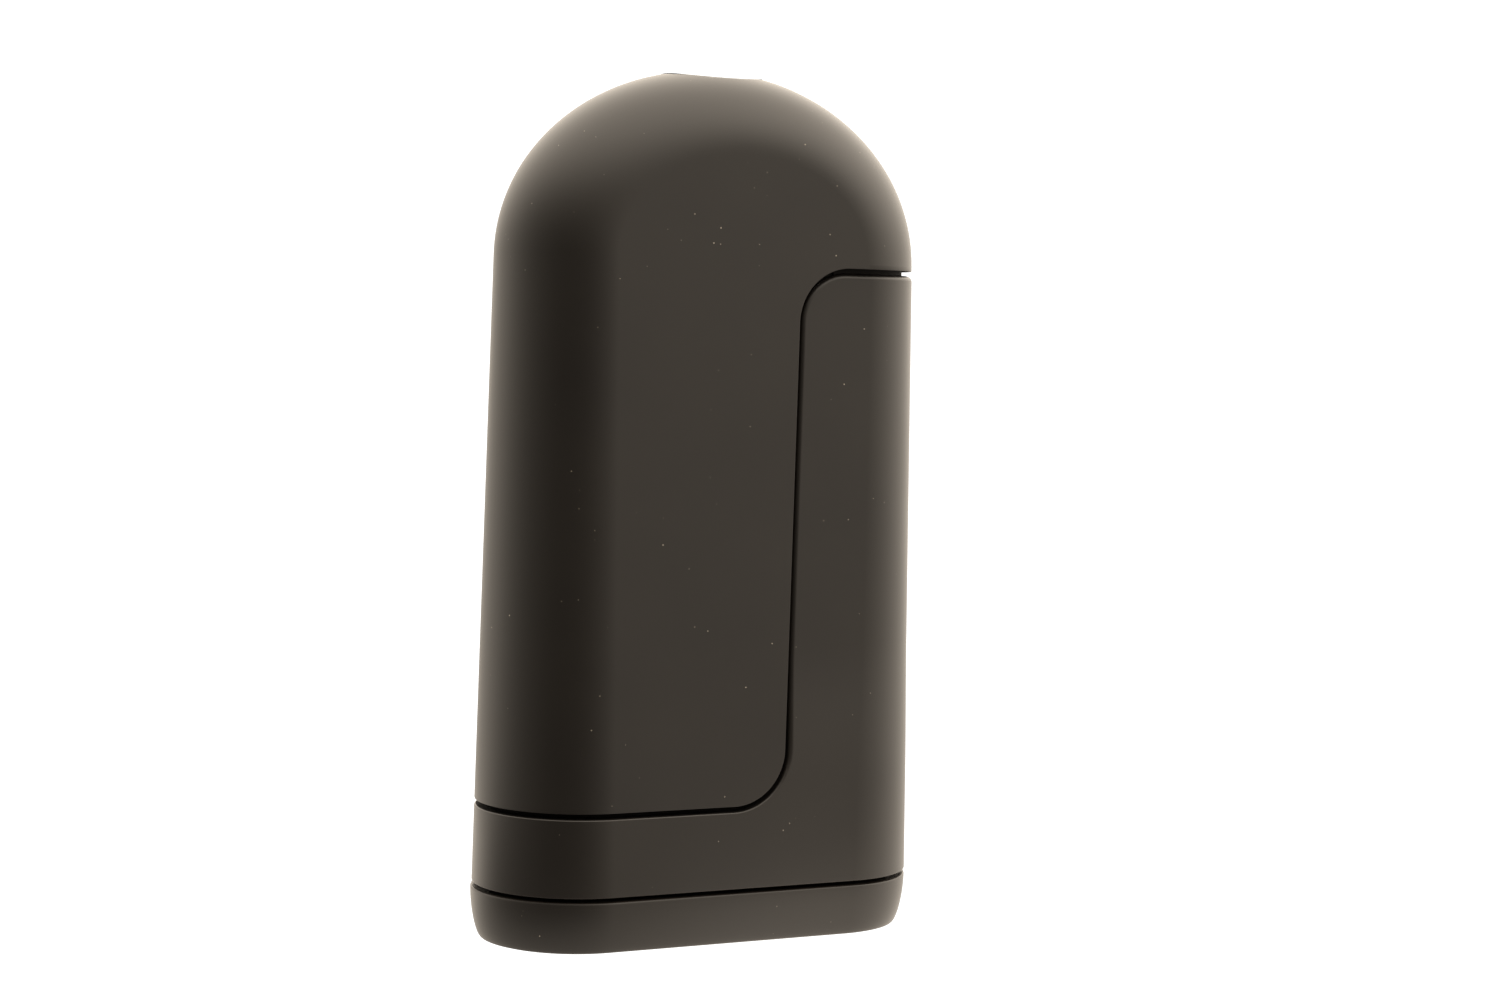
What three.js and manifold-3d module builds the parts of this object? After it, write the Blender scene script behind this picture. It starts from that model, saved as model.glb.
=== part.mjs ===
// A refillable jet lighter: a flat, full-round body with a domed top.
// Millimetres, +Z up, +X towards the squeeze trigger, -Y is the front face.
// The origin is the middle of the footprint, on the surface that the lighter stands on.
import * as THREE from "three";
import { mergeVertices } from "three/addons/utils/BufferGeometryUtils.js";
import Module from "manifold-3d";

const wasm = await Module();
wasm.setup();

// ---------- driving dimensions ----------
const TOP_Z = 66.96; // the two ends of the cut through the crown of the dome
const TOP_DISH = 33; // radius of that cut, which dips a little in the middle
const CROWN_HALF = 4.35; // half the length of the cut
const OPENING = { length: 8, width: 3.9 };
const SPRING_Z = 52.66; // where the straight sides end and the dome begins
const DOME_RISE = 14.83; // from there to the crown of the uncut dome
const HALF_WIDTH = { foot: 18.16, slope: -0.0138 }; // half the width at height z is foot + slope * z
const HALF_DEPTH = { foot: 7.88, slope: -0.021 };
const WALL = 1.1; // hood and trigger
const FOOT_ROLL = { inset: 0.9, rise: 3.8, power: 1.6, lift: 0.15 }; // how the cap draws in at its foot
const SOLE = [[1.8, 0], [1.25, 0.05]]; // inset and height of the flat sole's edge
const CAP_EDGE = 0.08; // the base cap stands this far proud of the band

const BASE_SEAM = { low: 4.12, high: 4.42 }; // gap between the base cap and the band
const BAND_SEAM = { low: 10.38, high: 10.82 }; // gap between the band and the hood
const ARM_SEAM = { low: 51.92, high: 52.27 }; // gap between the arm's top and the hood
const SIDE_SEAM = { x: 4.15, lean: 0.0198, gap: 0.36 }; // the upright gap; x is its place at z = 10
const INNER_CORNER = 4.5; // radii of the two corners that the upright gap turns through
const OUTER_CORNER = 4.2;
const ARM_INSET = 0.48; // how far the arm's cheeks sit below the hood's skin
const ARM_PROUD = 0.1; // how far the trigger's narrow end stands out beyond the hood's
const LIP_SKIN = 0.34; // the hood's skin where the cheeks slide in under it
// Thin walls that close the gaps from inside: how far in they stand, and how far up they reach.
const TONGUE = { outer: 1.45, inner: 2.05, rise: 1.5, step: 0.8 };
// The same for the upright gap: reach is how far past the middle of the gap it stands.
const SEAM_COVER = { outer: 0.95, inner: 1.55, reach: 0.68, root: 1, foot: 13 };

const PIVOT = { x: -6, z: 7.8, r: 0.8 }; // the trigger turns about this pin
const ROCKER = { x: 12.6, z: 42.5, r: 0.8 };
const LEVER = { x: -4.5, z: 40.8, r: 0.6 };
const PLUNGER_X = 7.3; // the igniter's upright axis
const VALVE_X = -8; // the outlet valve and the flame adjuster share this axis
const FILL_X = -1.4;
const SCREW_X = [-12.9, 12.9];
const ELECTRODE_X = -4.6;
const RUN = 0.12; // clearance round a pin that something turns on

// ---------- small helpers ----------
const solid = (geometry) => {
  const bare = geometry.index ? geometry.toNonIndexed() : geometry;
  bare.deleteAttribute("normal");
  bare.deleteAttribute("uv");
  const merged = mergeVertices(bare, 1e-4);
  return new wasm.Manifold(
    new wasm.Mesh({
      numProp: 3,
      vertProperties: new Float32Array(merged.attributes.position.array),
      triVerts: new Uint32Array(merged.index.array),
    }),
  );
};

const geometryOf = (made) => {
  const mesh = made.getMesh();
  const geometry = new THREE.BufferGeometry();
  geometry.setAttribute("position", new THREE.BufferAttribute(mesh.vertProperties, 3));
  geometry.setIndex(new THREE.BufferAttribute(mesh.triVerts, 1));
  geometry.computeVertexNormals();
  return geometry;
};

const box = (x0, x1, y0, y1, z0, z1) =>
  solid(
    new THREE.BoxGeometry(x1 - x0, y1 - y0, z1 - z0).translate(
      (x0 + x1) / 2,
      (y0 + y1) / 2,
      (z0 + z1) / 2,
    ),
  );

// A surface of revolution about the upright line through (x, y): profile is [radius, z] pairs.
const turned = (x, y, profile, segments = 16) =>
  solid(
    new THREE.LatheGeometry(
      profile.map(([r, z]) => new THREE.Vector2(r, z)),
      segments,
    )
      .rotateX(Math.PI / 2)
      .translate(x, y, 0),
  );

const rod = (x, y, r, z0, z1, segments = 16) =>
  turned(x, y, [[0, z0], [r, z0], [r, z1], [0, z1]], segments);

const tube = (x, y, inner, outer, z0, z1, segments = 16) =>
  turned(x, y, [[inner, z0], [outer, z0], [outer, z1], [inner, z1], [inner, z0]], segments);

// A round pin along Y.
const crossPin = (x, z, r, y0, y1, segments = 16) =>
  solid(new THREE.CylinderGeometry(r, r, y1 - y0, segments).translate(x, (y0 + y1) / 2, z));

// An outline in the X-Z plane, pushed along Y.
const slab = (shape, y0, y1, curveSegments = 8) =>
  solid(
    new THREE.ExtrudeGeometry(shape, { depth: y1 - y0, bevelEnabled: false, curveSegments })
      .rotateX(Math.PI / 2)
      .translate(0, y1, 0),
  );

// An outline in the X-Y plane, pushed up along Z.
const plate = (shape, z0, z1, curveSegments = 6) =>
  solid(
    new THREE.ExtrudeGeometry(shape, {
      depth: z1 - z0,
      bevelEnabled: false,
      curveSegments,
    }).translate(0, 0, z0),
  );

const roundedRectangle = (x0, x1, y0, y1, r) =>
  new THREE.Shape()
    .moveTo(x0 + r, y0)
    .lineTo(x1 - r, y0)
    .absarc(x1 - r, y0 + r, r, -Math.PI / 2, 0, false)
    .lineTo(x1, y1 - r)
    .absarc(x1 - r, y1 - r, r, 0, Math.PI / 2, false)
    .lineTo(x0 + r, y1)
    .absarc(x0 + r, y1 - r, r, Math.PI / 2, Math.PI, false)
    .lineTo(x0, y0 + r)
    .absarc(x0 + r, y0 + r, r, Math.PI, 1.5 * Math.PI, false);

const roundSection = (r, sides) => {
  const shape = new THREE.Shape();
  for (let i = 0; i < sides; i++) {
    const turn = (2 * Math.PI * i) / sides;
    shape[i ? "lineTo" : "moveTo"](r * Math.cos(turn), r * Math.sin(turn));
  }
  return shape.closePath();
};

const swept = (points, r, steps, sides = 8) =>
  solid(
    new THREE.ExtrudeGeometry(roundSection(r, sides), {
      steps,
      extrudePath: new THREE.CatmullRomCurve3(points.map((p) => new THREE.Vector3(...p))),
      bevelEnabled: false,
    }),
  );

class Helix extends THREE.Curve {
  constructor(place, radius, length, turns) {
    super();
    Object.assign(this, { place, radius, length, turns });
  }
  getPoint(t, target = new THREE.Vector3()) {
    const turn = 2 * Math.PI * this.turns * t;
    return this.place(
      target,
      this.radius * Math.cos(turn),
      this.radius * Math.sin(turn),
      this.length * t,
    );
  }
}

const coil = (place, radius, wire, length, turns) =>
  solid(
    new THREE.ExtrudeGeometry(roundSection(wire, 4), {
      steps: turns * 8,
      extrudePath: new Helix(place, radius, length, turns),
      bevelEnabled: false,
    }),
  );

const join = (...pieces) => pieces.reduce((sum, piece) => sum.add(piece));
const cut = (piece, ...tools) => tools.reduce((rest, tool) => rest.subtract(tool), piece);

// ---------- the outer form ----------
const halfWidth = (z) => HALF_WIDTH.foot + HALF_WIDTH.slope * z;
const halfDepth = (z) => HALF_DEPTH.foot + HALF_DEPTH.slope * z;
const smooth = (z, from, to) => THREE.MathUtils.smoothstep(z, from, to);
const armInset = (z) => ARM_INSET * smooth(z, 12.5, 23);
const noInset = () => 0;

// The body is what a ball of radius halfDepth sweeps along an upright arch, filled in between.
// shrink moves the whole surface in; faceInset moves only the front and back faces in;
// proud moves the end on the trigger's side out.
function form({ shrink = 0, faceInset = noInset, from = -2, levels = [], proud = 0 }) {
  const ARCH_STEPS = 26;
  const ROUND_STEPS = 12;
  const spine = []; // half of the arch: [x, z, radius]
  const core = (z) => halfWidth(z) - halfDepth(z) + faceInset(z);
  const radius = (z) => halfDepth(z) - faceInset(z) - shrink;
  for (const z of [from, ...levels, SPRING_Z]) spine.push([core(z), z, radius(z)]);
  const rise = DOME_RISE - halfDepth(SPRING_Z);
  for (let i = 1; i < ARCH_STEPS / 2; i++) {
    const turn = (Math.PI * i) / ARCH_STEPS;
    const z = SPRING_Z + rise * Math.sin(turn);
    spine.push([core(SPRING_Z) * Math.cos(turn), z, radius(z)]);
  }
  const crownZ = SPRING_Z + rise;
  const arch = [
    ...spine.map(([x, z, r]) => [-x, z, r]),
    [0, crownZ, radius(crownZ)],
    ...spine.toReversed().map(([x, z, r]) => [x + proud, z, r]),
  ];
  const rows = arch.map(([x, z, r], i) => {
    const onSide = z <= SPRING_Z;
    const before = arch[Math.max(i - 1, 0)];
    const after = arch[Math.min(i + 1, arch.length - 1)];
    const outward = onSide
      ? [Math.sign(x), 0]
      : [before[1] - after[1], after[0] - before[0]];
    const size = Math.hypot(...outward);
    return Array.from({ length: ROUND_STEPS + 1 }, (_, k) => {
      const roll = -Math.PI / 2 + (Math.PI * k) / ROUND_STEPS;
      const reach = (r * Math.cos(roll)) / size;
      return [x + reach * outward[0], r * Math.sin(roll), z + reach * outward[1]];
    });
  });
  const triangles = [];
  const quad = (a, b, c, d) => triangles.push(a, c, b, a, d, c);
  const last = rows.length - 1;
  for (let i = 0; i < last; i++)
    for (let k = 0; k < ROUND_STEPS; k++)
      quad(rows[i][k], rows[i][k + 1], rows[i + 1][k + 1], rows[i + 1][k]);
  const half = last / 2;
  for (let i = 0; i < half; i++) {
    const a = rows[i];
    const b = rows[i + 1];
    const c = rows[last - i - 1];
    const d = rows[last - i];
    const back = ROUND_STEPS;
    if (i + 1 < half) {
      quad(a[0], b[0], c[0], d[0]);
      quad(d[back], c[back], b[back], a[back]);
    } else {
      triangles.push(a[0], d[0], b[0], d[back], a[back], b[back]);
    }
  }
  for (let k = 0; k < ROUND_STEPS; k++)
    quad(rows[0][k], rows[last][k], rows[last][k + 1], rows[0][k + 1]);
  const flat = new Float32Array(triangles.flat());
  return solid(
    new THREE.BufferGeometry().setAttribute("position", new THREE.BufferAttribute(flat, 3)),
  );
}

// ---------- the L-shaped seam ----------
const seamX = (z) => SIDE_SEAM.x + SIDE_SEAM.lean * (z - 10);

// The outline of everything on the trigger's side of the seam, moved by shift towards the hood.
function triggerSide(shift, bandTop, armTop) {
  const x = (z) => seamX(z) - shift;
  const inner = INNER_CORNER - shift;
  const outer = OUTER_CORNER + shift;
  const lowBend = bandTop + inner;
  const highBend = armTop - outer;
  return new THREE.Shape()
    .moveTo(-30, -5)
    .lineTo(-30, bandTop)
    .lineTo(x(lowBend) - inner, bandTop)
    .absarc(x(lowBend) - inner, lowBend, inner, -Math.PI / 2, 0, false)
    .lineTo(x(highBend), highBend)
    .absarc(x(highBend) + outer, highBend, outer, Math.PI, Math.PI / 2, true)
    .lineTo(30, armTop)
    .lineTo(30, -5)
    .closePath();
}

function hood() {
  const gap = SIDE_SEAM.gap / 2;
  const notHood = triggerSide(gap, BAND_SEAM.high, ARM_SEAM.high);
  const lip = triggerSide(1.9, BAND_SEAM.high + 1.2, ARM_SEAM.high + 1.0);
  const lipRoom = cut(
    slab(lip, -20, 20).intersect(form({ shrink: LIP_SKIN })),
    box(-30, 2, -20, 20, -10, 15),
  );
  const [l, w] = [OPENING.length / 2, OPENING.width / 2];
  const opening = plate(roundedRectangle(-l, l, -w, w, w - 0.05), TOP_Z - 6, TOP_Z + 2);
  const dishZ = TOP_Z + Math.sqrt(TOP_DISH ** 2 - CROWN_HALF ** 2);
  return cut(
    form({}),
    form({ shrink: WALL, from: -4 }),
    slab(notHood, -20, 20, 10),
    lipRoom,
    opening,
    crossPin(0, dishZ, TOP_DISH, -20, 20, 160),
  );
}

// A thin upright wall inside the body, joined by a thicker root to the shell round it.
function tongue(z0, z1, rootTop, rootShrink) {
  const band = (shrink, low, high) =>
    cut(form({ shrink }), form({ shrink: TONGUE.inner, from: -4 })).intersect(
      box(-30, 30, -20, 20, low, high),
    );
  return join(band(TONGUE.outer, z0, z1), band(rootShrink, z0, rootTop));
}

function trigger() {
  const gap = SIDE_SEAM.gap / 2;
  const levels = [12.5, 14.5, 16.5, 18.5, 20.5, 23];
  const outline = triggerSide(-gap, BAND_SEAM.low, ARM_SEAM.low);
  const outside = form({ faceInset: armInset, levels, proud: ARM_PROUD }).intersect(
    slab(outline, -20, 20, 10),
  );
  const roof = box(-30, 30, -20, 20, ARM_SEAM.low - WALL, 80);
  const inside = cut(form({ shrink: WALL, faceInset: armInset, levels, from: -4 }), roof);
  const shell = cut(outside, inside, box(-30, 30, -20, 20, -5, BASE_SEAM.high));
  const wallY = halfDepth(PIVOT.z) - WALL / 2;
  const bosses = [-1, 1].map((side) =>
    crossPin(PIVOT.x, PIVOT.z, 1.9, ...[5.3, wallY].map((y) => side * y).sort((a, b) => a - b)),
  );
  const pad = box(13.5, 16.6, -1.5, 1.5, 43.9, 45.2);
  const springPost = rod(0, 0, 1.1, 13.4, 16.6, 12).rotate([0, 90, 0]).translate([0, 0, 49]);
  const pinRoom = crossPin(PIVOT.x, PIVOT.z, PIVOT.r + RUN, -6.7, 6.7);
  const bandTongue = cut(
    tongue(9.6, BAND_SEAM.high + TONGUE.rise, BAND_SEAM.low - 0.1, WALL - 0.3),
    box(3, 30, -20, 20, 0, 30),
  );
  const armTongue = cut(
    tongue(ARM_SEAM.low - 0.9, ARM_SEAM.high + TONGUE.rise, ARM_SEAM.high + 0.25, TONGUE.step),
    box(-30, 8, -20, 20, 0, 90),
  );
  const { outer, inner, reach, root, foot } = SEAM_COVER;
  const coverOutline = triggerSide(reach, BAND_SEAM.high + 0.5, ARM_SEAM.high + 0.2);
  const rootOutline = triggerSide(-root, BAND_SEAM.low - 0.9, ARM_SEAM.low - 0.9);
  const seamCover = cut(
    form({ shrink: outer }).intersect(slab(coverOutline, -20, 20, 10)),
    form({ shrink: inner, from: -4 }),
    slab(rootOutline, -20, 20, 10),
    box(-30, 30, -20, 20, -10, foot),
  );
  const fittings = [pad, springPost, bandTongue, armTongue, ...seamCover.decompose()];
  return cut(join(shell, ...bosses, ...fittings), pinRoom);
}

// The base cap: stacked rings of the body's plan, drawn in round the underside.
function baseCap() {
  const stadium = (z, inset) => {
    const r = halfDepth(z) - inset + CAP_EDGE;
    const core = halfWidth(z) - halfDepth(z);
    const END_STEPS = 12;
    const points = [];
    for (const side of [1, -1])
      for (let k = 0; k <= END_STEPS; k++) {
        const turn = (side > 0 ? -Math.PI / 2 : Math.PI / 2) + (Math.PI * k) / END_STEPS;
        points.push([side * core + r * Math.cos(turn), r * Math.sin(turn), z]);
      }
    return points;
  };
  const ROLL_STEPS = 6;
  const { inset, rise, power, lift } = FOOT_ROLL;
  const rings = SOLE.map(([drawnIn, z]) => stadium(z, drawnIn));
  for (let i = 0; i <= ROLL_STEPS; i++) {
    const roll = (Math.PI / 2) * (i / ROLL_STEPS);
    const up = 1 - Math.cos(roll) ** (2 / power);
    rings.push(stadium(lift + rise * up, inset * (1 - Math.sin(roll) ** (2 / power))));
  }
  rings.push(stadium(BASE_SEAM.low, 0));
  const triangles = [];
  const count = rings[0].length;
  for (let i = 0; i + 1 < rings.length; i++)
    for (let k = 0; k < count; k++) {
      const n = (k + 1) % count;
      triangles.push(rings[i][k], rings[i][n], rings[i + 1][n]);
      triangles.push(rings[i][k], rings[i + 1][n], rings[i + 1][k]);
    }
  const top = rings.at(-1);
  for (let k = 1; k + 1 < count; k++) {
    triangles.push(rings[0][0], rings[0][k + 1], rings[0][k]);
    triangles.push(top[0], top[k], top[k + 1]);
  }
  const block = solid(
    new THREE.BufferGeometry().setAttribute(
      "position",
      new THREE.BufferAttribute(new Float32Array(triangles.flat()), 3),
    ),
  );
  const pocket = form({ shrink: WALL + 0.3, from: 2.4 });
  const heads = SCREW_X.map((x) =>
    turned(x, 0, [[0, -1], [1.75, -1], [1.75, 0.5], [1.3, 1.3], [1.3, 6], [0, 6]], 16),
  );
  const bossRoom = box(PIVOT.x - 2.6, PIVOT.x + 2.6, -20, 20, BASE_SEAM.low, 10);
  const lip = cut(tongue(2.9, BASE_SEAM.high + TONGUE.rise, BASE_SEAM.low - 0.1, WALL), bossRoom);
  return cut(
    join(cut(block, pocket), lip),
    ...heads,
    rod(FILL_X, 0, 2.7, -1, 1.5),
    rod(FILL_X, 0, 2.25, -1, 6),
    rod(VALVE_X, 0, 2.4, -1, 1.7),
    rod(VALVE_X, 0, 1.2, -1, 6),
  );
}

// ---------- the frame inside ----------
function chassis() {
  const foot = plate(roundedRectangle(-15.1, 15.1, -4.7, 4.7, 4.5), 2.75, 9.3);
  const wall = box(3.4, 4.4, -3.5, 3.5, 9, 54.6);
  const shelf = box(-7, 4.4, -3.5, 3.5, 53.5, 54.6);
  const lugs = [-1, 1].flatMap((side) => {
    const [near, far] = side > 0 ? [2.6, 3.4] : [-3.4, -2.6];
    return [box(4, 14, near, far, 40.6, 44.4), box(LEVER.x - 1.5, 4, near, far, 39.6, 42)];
  });
  return cut(
    join(foot, wall, shelf, ...lugs),
    box(3, 5, -1.5, 1.5, 38, 43),
    rod(0, 0, 3.2, 53, 55),
    rod(ELECTRODE_X, 0, 1.3, 53, 55, 14),
    rod(FILL_X, 0, 2.25, 0, 12),
    rod(VALVE_X, 0, 1.2, 0, 12),
    crossPin(PIVOT.x, PIVOT.z, PIVOT.r + RUN, -6, 6),
    crossPin(ROCKER.x, ROCKER.z, ROCKER.r + RUN, -6, 6),
    crossPin(LEVER.x, LEVER.z, LEVER.r + RUN, -6, 6),
    ...SCREW_X.map((x) => rod(x, 0, 1.3, 0, 6.6, 12)),
  );
}

function fuelTank() {
  const outside = plate(roundedRectangle(-15.1, 3, -5, 5, 4.4), 11.4, 35);
  const inside = plate(roundedRectangle(-13.9, 1.8, -3.8, 3.8, 3.2), 10, 33.7);
  return cut(outside, inside, rod(VALVE_X, 0, 2, 33, 36));
}

function tankLid() {
  const flange = plate(roundedRectangle(-15.1, 3, -5, 5, 4.4), 9.7, 11.1);
  const plug = plate(roundedRectangle(-13.5, 1.4, -3.4, 3.4, 2.8), 11, 12.6);
  return cut(join(flange, plug), rod(FILL_X, 0, 2.1, 9, 13), rod(VALVE_X, 0, 2.3, 9, 13));
}

// ---------- filling and gas flow ----------
const fillValveBody = () =>
  turned(FILL_X, 0, [
    [1.2, 0.5], [2.35, 0.5], [2.35, 1.2], [1.8, 1.2], [1.8, 14], [0.9, 14], [0.9, 12.6], [1.2, 12.6],
    [1.2, 0.5],
  ]);
const fillValveStem = () =>
  turned(
    FILL_X,
    0,
    [[0, 0.7], [0.75, 0.7], [0.75, 3], [0.9, 3], [0.9, 3.6], [0.35, 3.6], [0.35, 13.2], [0, 13.2]],
    14,
  );
const fillValveSpring = () =>
  coil((p, x, y, z) => p.set(FILL_X + x, y, 4.2 + z), 0.7, 0.15, 7.8, 7);
const fillValveSeal = () => {
  const ring = new THREE.TorusGeometry(1.95, 0.14, 6, 16).translate(FILL_X, 0, 1.36);
  return solid(ring);
};

function flameAdjuster() {
  const stem = rod(VALVE_X, 0, 0.8, 1.3, 33.6, 14);
  const disc = rod(VALVE_X, 0, 2.1, 0.5, 1.4, 24);
  const slot = box(VALVE_X - 1.7, VALVE_X + 1.7, -0.35, 0.35, 0, 0.95);
  return cut(join(disc, stem), slot);
}
const adjusterGland = () => tube(VALVE_X, 0, 0.95, 2, 9.6, 14.2);

const outletValveBody = () =>
  turned(VALVE_X, 0, [
    [1, 34], [1.7, 34], [1.7, 35.3], [2.6, 35.3], [2.6, 37], [2, 37], [2, 39.2], [1, 39.2], [1, 34],
  ]);
const outletValveStem = () =>
  turned(VALVE_X, 0, [
    [0, 35], [0.8, 35], [0.8, 41.7], [2, 41.7], [2, 42.4], [0.8, 42.4], [0.8, 44.2], [0, 44.2],
  ]);

function gasLever() {
  const fork = plate(roundedRectangle(VALVE_X - 2.2, LEVER.x + 0.5, -2.1, 2.1, 0.8), 40.3, 41.3);
  const arm = plate(roundedRectangle(LEVER.x - 1, PLUNGER_X + 1.1, -1.1, 1.1, 0.6), 40.3, 41.3);
  const hub = crossPin(LEVER.x, LEVER.z, 1.3, -2.1, 2.1);
  const slot = plate(roundedRectangle(VALVE_X - 4, VALVE_X + 1.15, -1.15, 1.15, 1.1), 40, 42);
  return cut(join(fork, arm, hub), slot, crossPin(LEVER.x, LEVER.z, LEVER.r + RUN, -3, 3));
}
const gasTube = () =>
  swept([[VALVE_X, 0, 45.5], [VALVE_X, 0, 47], [-7, 0, 48.6], [-5.2, 0, 49], [-3.3, 0, 49]], 0.75, 12);

// ---------- the burner ----------
function burnerBody() {
  const shell = turned(0, 0, [
    [0, 47], [2.3, 47], [2.9, 47.6], [2.9, 60.2], [2.1, 60.2], [2.1, 48.4], [0.4, 48.4], [0, 48.4],
  ]);
  return cut(shell, crossPin(0, 51.5, 0.9, -4, 4, 12));
}
const burnerNozzle = () =>
  turned(0, 0, [
    [1.6, 60.5], [3.3, 60.5], [3.3, 61.4], [2.6, 61.4], [2.6, 63.4], [2.3, 63.8], [2, 63.8], [2, 61.9],
    [1.6, 61.9], [1.6, 60.5],
  ], 24);
function flameScreen() {
  const HOLES = 6;
  const holes = Array.from({ length: HOLES }, (_, i) => {
    const turn = (2 * Math.PI * i) / HOLES;
    return rod(1.05 * Math.cos(turn), 1.05 * Math.sin(turn), 0.3, 61, 64, 8);
  });
  return cut(rod(0, 0, 1.7, 62.2, 62.8), rod(0, 0, 0.4, 61, 64, 10), ...holes);
}

// ---------- the spark ----------
const piezoBody = () =>
  cut(
    plate(roundedRectangle(4.8, 9.8, -2.6, 2.6, 0.8), 13, 32.4),
    rod(PLUNGER_X, 0, 1.35, 24, 33),
  );
const piezoPlunger = () =>
  join(
    rod(PLUNGER_X, 0, 1.1, 26.8, 38, 16),
    plate(roundedRectangle(5.1, 9.5, -2.2, 2.2, 0.7), 37.8, 39.9),
  );
const plungerSpring = () =>
  coil((p, x, y, z) => p.set(PLUNGER_X + x, y, 33 + z), 1.75, 0.25, 4.3, 4);
const sparkElectrode = () =>
  swept(
    [[ELECTRODE_X, 0, 56], [ELECTRODE_X, 0, 62.6], [-4.2, 0, 63.7], [-3, 0, 64.35], [-1.2, 0, 64.5]],
    0.3,
    16,
    8,
  );
const electrodeInsulator = () => tube(ELECTRODE_X, 0, 0.45, 1, 52.2, 61, 14);
const electrodeWire = () =>
  swept(
    [
      [PLUNGER_X, 3.0, 17], [7.2, 4.0, 18.4], [6.6, 4.3, 24], [4.6, 4.4, 33], [2, 4.3, 42],
      [0, 4.2, 47], [-2.8, 3, 50], [-4.4, 0.9, 51.2], [ELECTRODE_X, -0.2, 51.7],
    ],
    0.4,
    34,
    6,
  );

// ---------- the rocker, its pins, springs and screws ----------
function rocker() {
  const outline = new THREE.Shape()
    .moveTo(6.4, 41.9)
    .lineTo(12, 41.4)
    .lineTo(13.2, 41.4)
    .lineTo(13.9, 42.1)
    .lineTo(13.9, 42.9)
    .lineTo(13.2, 43.4)
    .lineTo(13.2, 44.9)
    .absarc(12.6, 44.9, 0.6, 0, Math.PI, false)
    .lineTo(11.9, 43.9)
    .lineTo(6.9, 43.2)
    .absarc(6.7, 42.4, 0.6, Math.PI / 2, Math.PI, false)
    .closePath();
  return cut(
    slab(outline, -1.9, 1.9),
    crossPin(ROCKER.x, ROCKER.z, ROCKER.r + RUN, -3, 3),
  );
}
const triggerSpring = () => coil((p, x, y, z) => p.set(4.9 + z, y, 49 + x), 1.6, 0.25, 10.6, 8);

const baseScrew = (x) => () => {
  const head = turned(
    x, 0, [[0, 0.3], [1.45, 0.3], [1.45, 0.5], [1, 1], [1, 6.1], [0.7, 6.4], [0, 6.4]], 16,
  );
  const recess = [0, 90].map((turn) =>
    box(-1, 1, -0.2, 0.2, 0, 0.75).rotate([0, 0, turn]).translate([x, 0, 0]),
  );
  return cut(head, ...recess);
};

// ---------- the assembly ----------
const finish = (color, roughness, metalness = 0) => ({ color, roughness, metalness });
const SOFT_TOUCH = finish(0x3b3834, 0.6);
const NYLON = finish(0x2a2a2c, 0.55);
const TANK = finish(0xd8d6cc, 0.4);
const BRASS = finish(0xb5964c, 0.3, 1);
const STEEL = finish(0xa9abad, 0.3, 1);
const CERAMIC = finish(0xeae6dc, 0.35);
const RUBBER = finish(0x161616, 0.8);
const INSULATION = finish(0x9c1f1c, 0.5);
const CLEAR_TUBE = finish(0xdfe3e0, 0.35);

const PIECES = {
  hood: [hood, SOFT_TOUCH],
  trigger: [trigger, SOFT_TOUCH],
  base_cap: [baseCap, SOFT_TOUCH],
  chassis: [chassis, NYLON],
  fuel_tank: [fuelTank, TANK],
  tank_lid: [tankLid, TANK],
  fill_valve_body: [fillValveBody, BRASS],
  fill_valve_stem: [fillValveStem, BRASS],
  fill_valve_spring: [fillValveSpring, STEEL],
  fill_valve_seal: [fillValveSeal, RUBBER],
  flame_adjuster: [flameAdjuster, BRASS],
  adjuster_gland: [adjusterGland, BRASS],
  outlet_valve_body: [outletValveBody, BRASS],
  outlet_valve_stem: [outletValveStem, STEEL],
  gas_lever: [gasLever, STEEL],
  gas_tube: [gasTube, CLEAR_TUBE],
  burner_body: [burnerBody, BRASS],
  burner_nozzle: [burnerNozzle, STEEL],
  flame_screen: [flameScreen, STEEL],
  piezo_body: [piezoBody, NYLON],
  piezo_plunger: [piezoPlunger, NYLON],
  plunger_spring: [plungerSpring, STEEL],
  electrode_wire: [electrodeWire, INSULATION],
  electrode_insulator: [electrodeInsulator, CERAMIC],
  spark_electrode: [sparkElectrode, STEEL],
  rocker: [rocker, NYLON],
  trigger_spring: [triggerSpring, STEEL],
  trigger_pin: [() => crossPin(PIVOT.x, PIVOT.z, PIVOT.r, -6.4, 6.4), STEEL],
  rocker_pin: [() => crossPin(ROCKER.x, ROCKER.z, ROCKER.r, -3.4, 3.4), STEEL],
  gas_lever_pin: [() => crossPin(LEVER.x, LEVER.z, LEVER.r, -3.4, 3.4, 12), STEEL],
  base_screw_left: [baseScrew(SCREW_X[0]), STEEL],
  base_screw_right: [baseScrew(SCREW_X[1]), STEEL],
};

const lighter = new THREE.Group();
for (const [name, [make, look]] of Object.entries(PIECES)) {
  const mesh = new THREE.Mesh(geometryOf(make()), new THREE.MeshStandardMaterial(look));
  mesh.name = name;
  lighter.add(mesh);
}

export default lighter;
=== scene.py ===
# %% [markdown]
# # A soft-touch jet lighter
#
# The real object is a pocket lighter about as big as a matchbox stood on end.
# Its body is a flat pill with full-round sides and a domed top.
# Three outer shells meet at hair-thin seams: the hood, an L-shaped squeeze trigger, and a base cap.
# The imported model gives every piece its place, so this script only adds the looks round it.

import math

import bmesh
import bpy
import numpy as np
from mathutils import Matrix, Vector
from mathutils.bvhtree import BVHTree


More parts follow.
